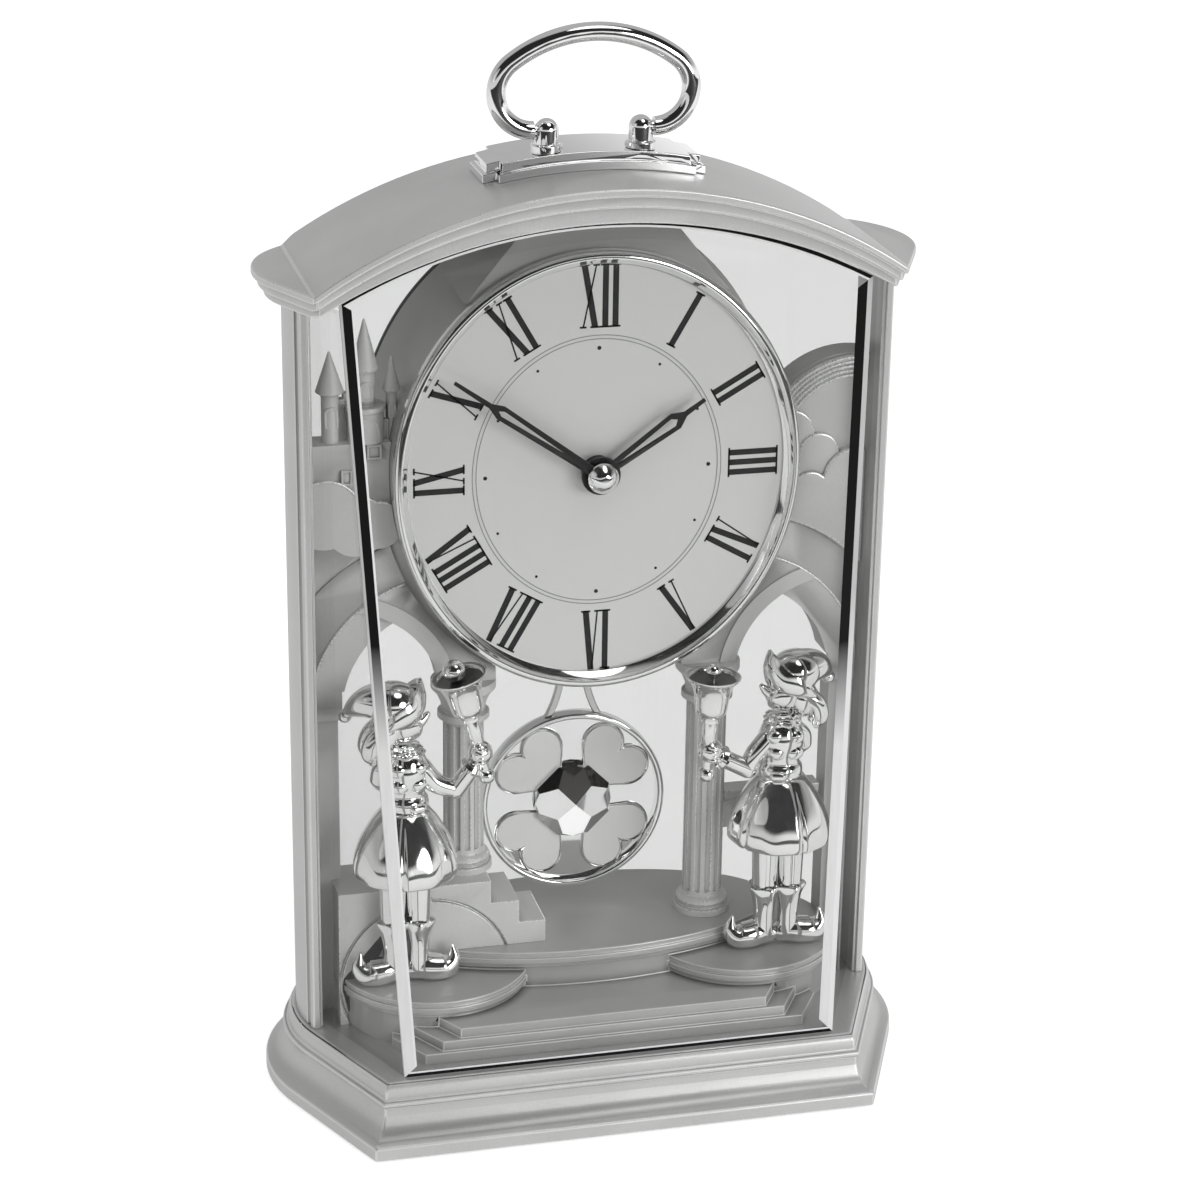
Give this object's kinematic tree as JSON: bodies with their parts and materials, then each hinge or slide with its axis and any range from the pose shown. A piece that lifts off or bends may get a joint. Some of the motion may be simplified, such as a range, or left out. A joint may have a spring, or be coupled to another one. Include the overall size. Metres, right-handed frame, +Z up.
{
  "type": "table clock",
  "caption": "Silver table clock with an arched roof, folding bail handle, oval dial, swinging pendulum and chrome bell ringers on a stage behind leaning glass.",
  "frame": {"origin": "on the floor, under the middle of the bounding box", "axes": "+Z up, -Y towards the front with the dial, +X to the viewer's right"},
  "size_m": [0.152, 0.074, 0.246],
  "materials": {
    "silver_case": "silver paint, satin",
    "silver_scene": "silver paint, satin",
    "satin_grey": "grey silver paint, satin",
    "dial_silver": "brushed silver",
    "chrome_metal": "polished chrome",
    "chrome_trim": "chrome-plated plastic, mirror bright",
    "clear_glass": "clear, polished edges",
    "clear_acrylic": "clear acrylic",
    "crystal": "clear, faceted",
    "petal_satin": "pale satin silver",
    "black_plastic": "black, fine grain",
    "rubber_foot": "matt",
    "steel": "bright",
    "cell_sleeve": "printed sleeve, plain",
    "board": "green board",
    "copper_winding": "enamelled copper wire",
    "wheel_plastic": "natural white",
    "hand_black": "black lacquer"
  },
  "bodies": {
    "case": {"base_plinth": "silver_case", "base_plate": "black_plastic", "base_screws": "steel", "rubber_feet": "rubber_foot", "stage": "silver_scene", "stair_wall": "silver_scene", "column_left": "silver_scene", "column_right": "silver_scene", "side_rail": "silver_scene", "arch_wall_left": "silver_scene", "arch_wall_right": "silver_scene", "castle": "silver_scene", "rainbow": "silver_scene", "clouds": "silver_scene", "pillar_left": "silver_case", "pillar_right": "silver_case", "roof_cap": "silver_case", "handle_plate": "chrome_metal", "handle_posts": "chrome_metal", "front_glass": "clear_glass", "side_glass_left": "clear_glass", "side_glass_right": "clear_glass", "back_pane": "clear_acrylic", "bezel": "chrome_trim", "dial_plate": "dial_silver", "drum": "satin_grey", "drum_back": "satin_grey", "drum_screws": "steel", "movement_case": "black_plastic", "movement_cover": "black_plastic", "battery_cell": "cell_sleeve", "battery_contacts": "steel", "circuit_board": "board", "coil": "copper_winding", "pendulum_drive": "black_plastic", "pendulum_pin": "steel", "figure_left": "chrome_trim", "figure_right": "chrome_trim"},
    "minute": {"minute_hand": "hand_black", "hub_cap": "chrome_trim", "cannon_pinion": "wheel_plastic"},
    "hour": {"hour_hand": "hand_black", "hour_wheel": "wheel_plastic"},
    "wheel": {"minute_wheel": "wheel_plastic"},
    "knob": {"setting_knob": "black_plastic"},
    "pendulum": {"pendulum_hanger": "chrome_trim", "pendulum_magnet": "steel", "pendulum_ring": "chrome_trim", "pendulum_petals": "petal_satin", "pendulum_crystal": "crystal"},
    "bail": {"bail_handle": "chrome_metal"}
  },
  "joints": [
    {"name": "minute_turn", "type": "hinge", "parent": "case", "child": "minute", "pos_m": [0, 0, 0.1472], "axis": [0, 1, 0], "continuous": true},
    {"name": "hour_turn", "type": "hinge", "parent": "case", "child": "hour", "pos_m": [0, 0, 0.1472], "axis": [0, 1, 0], "continuous": true},
    {"name": "wheel_turn", "type": "hinge", "parent": "case", "child": "wheel", "pos_m": [0.006, 0.017, 0.1472], "axis": [0, 1, 0], "continuous": true},
    {"name": "knob_turn", "type": "hinge", "parent": "case", "child": "knob", "pos_m": [0.012, 0.03, 0.1472], "axis": [0, 1, 0], "continuous": true},
    {"name": "pendulum_swing", "type": "hinge", "parent": "case", "child": "pendulum", "pos_m": [0, 0.0222, 0.112], "axis": [0, 1, 0], "range_deg": [-8, 8]},
    {"name": "bail_fold", "type": "hinge", "parent": "case", "child": "bail", "pos_m": [0, 0.009, 0.2229], "axis": [1, 0, 0], "range_deg": [-95, 95]}
  ],
  "couplings": [
    {"joint": "hour_turn", "follows": "minute_turn", "ratio": 0.083333},
    {"joint": "wheel_turn", "follows": "minute_turn", "ratio": -0.33333},
    {"joint": "knob_turn", "follows": "minute_turn", "ratio": 1}
  ]
}
